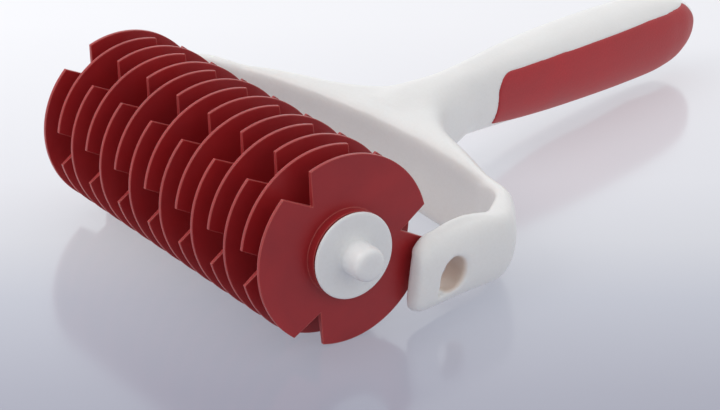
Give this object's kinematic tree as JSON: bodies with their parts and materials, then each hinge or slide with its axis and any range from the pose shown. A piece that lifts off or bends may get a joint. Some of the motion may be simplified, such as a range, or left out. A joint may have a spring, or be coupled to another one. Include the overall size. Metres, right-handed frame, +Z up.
{
  "type": "lattice pastry cutter roller",
  "caption": "Hand roller for cutting a lattice in rolled dough: notched discs on a clip-in axle between the arms of a forked handle, shown unclipped.",
  "frame": {"origin": "the middle of the footprint on the table, under the whole tool as it lies at rest", "axes": "+Z up from the table; +Y towards the handle end, the longest side; +X along the roller's axis towards its free end"},
  "size_m": [0.1318, 0.2096, 0.046],
  "materials": {
    "frame_white": "smooth moulded white plastic, satin to gloss",
    "cap_white": "smooth moulded white plastic",
    "grip_red": "soft-touch moulded red grip",
    "roller_red": "semi-matte moulded red plastic with thin light edges",
    "rod_steel": "drawn steel rod"
  },
  "bodies": {
    "handle": {"yoke_frame": "frame_white", "grip_insert_left": "grip_red", "grip_insert_right": "grip_red"},
    "axle": {"axle_rod": "rod_steel", "near_end_cap": "cap_white", "far_end_cap": "cap_white"},
    "cutter_roller": {"core_sleeve": "roller_red", "cutter_disc_01": "roller_red", "cutter_disc_02": "roller_red", "cutter_disc_03": "roller_red", "cutter_disc_04": "roller_red", "cutter_disc_05": "roller_red", "cutter_disc_06": "roller_red", "cutter_disc_07": "roller_red", "cutter_disc_08": "roller_red", "cutter_disc_09": "roller_red", "cutter_disc_10": "roller_red", "cutter_disc_11": "roller_red", "cutter_disc_12": "roller_red", "cutter_disc_13": "roller_red", "cutter_disc_14": "roller_red", "cutter_disc_15": "roller_red"}
  },
  "joints": [
    {"name": "roller_swing", "type": "hinge", "parent": "handle", "child": "axle", "pos_m": [-0.05554, -0.09231, 0.027], "axis": [0.0145, 0.3957, 0.9182], "range_deg": [0, 14.66], "deforming": ["near_end_cap"]},
    {"name": "roller_spin", "type": "hinge", "parent": "axle", "child": "cutter_roller", "pos_m": [0.00385, -0.08182, 0.023], "axis": [1, 0, 0], "continuous": true}
  ]
}
